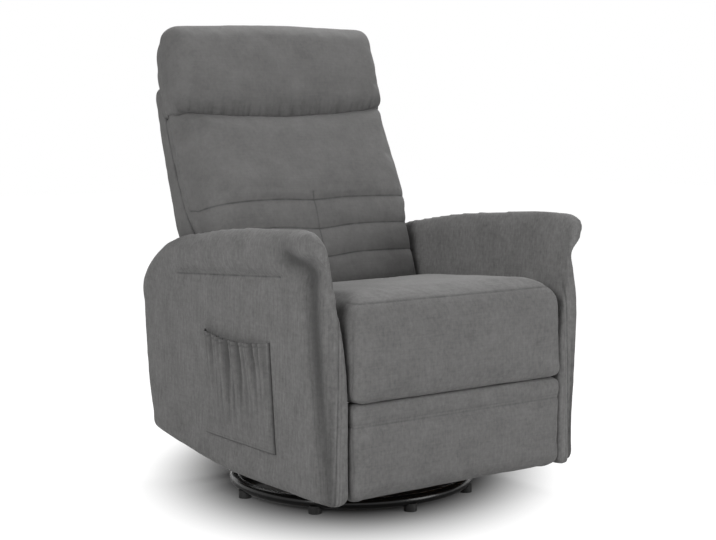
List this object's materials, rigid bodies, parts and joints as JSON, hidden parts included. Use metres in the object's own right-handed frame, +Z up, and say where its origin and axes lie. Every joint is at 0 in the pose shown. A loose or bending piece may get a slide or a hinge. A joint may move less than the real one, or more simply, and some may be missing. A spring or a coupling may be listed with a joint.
{
  "type": "swivel glider recliner",
  "caption": "Upholstered recliner armchair on a steel ring base that swivels and glides, with a tilting back, a fold-out footrest and a side pocket.",
  "frame": {"origin": "on the floor, under the middle of the width and of the depth of the closed chair", "axes": "+X to the right seen from the front, +Y to the back, +Z up; the chair faces -Y"},
  "size_m": [0.7404, 0.8204, 1.1063],
  "materials": {
    "base_steel": "gloss black powder coat",
    "frame_steel": "black paint",
    "link_steel": "black phosphate",
    "race_steel": "oiled black",
    "ball_steel": "polished",
    "bolt_steel": "zinc plated",
    "spring_steel": "oiled wire",
    "glide_plastic": "black",
    "black_plastic": "satin",
    "roller_plastic": "natural nylon",
    "plywood": "raw",
    "webbing": "woven strap",
    "upholstery": "brushed suede-like microfibre"
  },
  "bodies": {
    "base": {"ring_tube": "base_steel", "cross_arms": "base_steel", "floor_glides": "glide_plastic", "lower_race": "race_steel", "race_balls": "ball_steel", "centre_bolt": "bolt_steel", "centre_nut": "bolt_steel"},
    "carriage": {"upper_race": "race_steel", "carriage_beams": "frame_steel", "carriage_uprights": "frame_steel", "upper_glide_pins": "bolt_steel"},
    "front_glide": {"front_glide_links": "link_steel"},
    "rear_glide": {"rear_glide_links": "link_steel"},
    "chair": {"side_plates": "frame_steel", "lower_glide_pins": "bolt_steel", "cross_tubes": "frame_steel", "left_arm_frame": "plywood", "right_arm_frame": "plywood", "left_arm_cover": "upholstery", "right_arm_cover": "upholstery", "side_pocket": "upholstery", "rear_rail": "plywood", "arm_bolts": "bolt_steel", "footrest_pivot_studs": "bolt_steel", "recline_pivot_studs": "bolt_steel", "release_cable": "black_plastic", "tab_guide": "black_plastic"},
    "release": {"release_tab": "black_plastic"},
    "seat": {"seat_frame": "plywood", "seat_springs": "spring_steel", "seat_carriers": "frame_steel", "seat_rollers": "roller_plastic", "seat_cushion": "upholstery", "hinge_bolts": "bolt_steel"},
    "back": {"back_frame": "plywood", "back_webbing": "webbing", "hinge_brackets": "frame_steel", "back_shell": "upholstery", "lumbar_cushion": "upholstery", "head_pillow": "upholstery", "recline_studs": "bolt_steel"},
    "recline_links": {"recline_links": "link_steel"},
    "rear_links": {"rear_footrest_links": "link_steel", "knee_rivets": "bolt_steel"},
    "rear_control": {"rear_control_links": "link_steel"},
    "front_links": {"front_footrest_links": "link_steel"},
    "front_control": {"front_control_links": "link_steel"},
    "footrest": {"footrest_brackets": "frame_steel", "footrest_board": "plywood", "footrest_pad": "upholstery", "board_rivets": "bolt_steel"}
  },
  "joints": [
    {"name": "swivel", "type": "hinge", "parent": "base", "child": "carriage", "pos_m": [0, -0.01, 0.045], "axis": [0, 0, 1], "continuous": true},
    {"name": "glide", "type": "hinge", "parent": "carriage", "child": "front_glide", "pos_m": [0, -0.14, 0.18], "axis": [1, 0, 0], "range_deg": [-20, 20]},
    {"name": "glide_chair", "type": "hinge", "parent": "front_glide", "child": "chair", "pos_m": [0, -0.14, 0.09], "axis": [1, 0, 0], "range_deg": [-20, 20]},
    {"name": "glide_rear", "type": "hinge", "parent": "carriage", "child": "rear_glide", "pos_m": [0, 0.16, 0.18], "axis": [1, 0, 0], "range_deg": [-20, 20]},
    {"name": "release_pull", "type": "slide", "parent": "chair", "child": "release", "axis": [0, 0, 1], "range_m": [0, 0.014], "stiffness_N_per_m": 400, "springref_m": -0.002},
    {"name": "seat_slide", "type": "slide", "parent": "chair", "child": "seat", "axis": [0, -1, 0], "range_m": [0, 0.0601]},
    {"name": "back_recline", "type": "hinge", "parent": "seat", "child": "back", "pos_m": [0, 0.18, 0.33], "axis": [-1, 0, 0], "range_deg": [0, 35]},
    {"name": "recline_link_turn", "type": "hinge", "parent": "chair", "child": "recline_links", "pos_m": [0, 0.0828, 0.1696], "axis": [1, 0, 0], "range_deg": [0, 47.75]},
    {"name": "footrest_open", "type": "hinge", "parent": "chair", "child": "rear_links", "pos_m": [0, -0.28, 0.262], "axis": [-1, 0, 0], "range_deg": [0, 153.64]},
    {"name": "rear_control_turn", "type": "hinge", "parent": "chair", "child": "rear_control", "pos_m": [0, -0.3103, 0.2685], "axis": [-1, 0, 0], "range_deg": [0, 152.5]},
    {"name": "knee_turn", "type": "hinge", "parent": "rear_links", "child": "front_links", "pos_m": [0, -0.08987, 0.23528], "axis": [-1, 0, 0], "range_deg": [-96.7, 0]},
    {"name": "front_control_turn", "type": "hinge", "parent": "rear_links", "child": "front_control", "pos_m": [0, -0.10943, 0.25418], "axis": [-1, 0, 0], "range_deg": [-97.9, 0]},
    {"name": "board_turn", "type": "hinge", "parent": "front_links", "child": "footrest", "pos_m": [0, -0.322, 0.15], "axis": [-1, 0, 0], "range_deg": [0, 33]}
  ],
  "couplings": [
    {"joint": "glide_chair", "follows": "glide", "ratio": -1},
    {"joint": "glide_rear", "follows": "glide", "ratio": 1},
    {"joint": "seat_slide", "follows": "back_recline", "m_per_rad": 0.098221},
    {"joint": "recline_link_turn", "follows": "back_recline", "ratio": 1.3628},
    {"joint": "knee_turn", "follows": "footrest_open", "ratio": -0.62856},
    {"joint": "board_turn", "follows": "footrest_open", "ratio": 0.21434},
    {"joint": "rear_control_turn", "follows": "footrest_open", "ratio": 0.99215},
    {"joint": "front_control_turn", "follows": "footrest_open", "ratio": -0.63637}
  ]
}
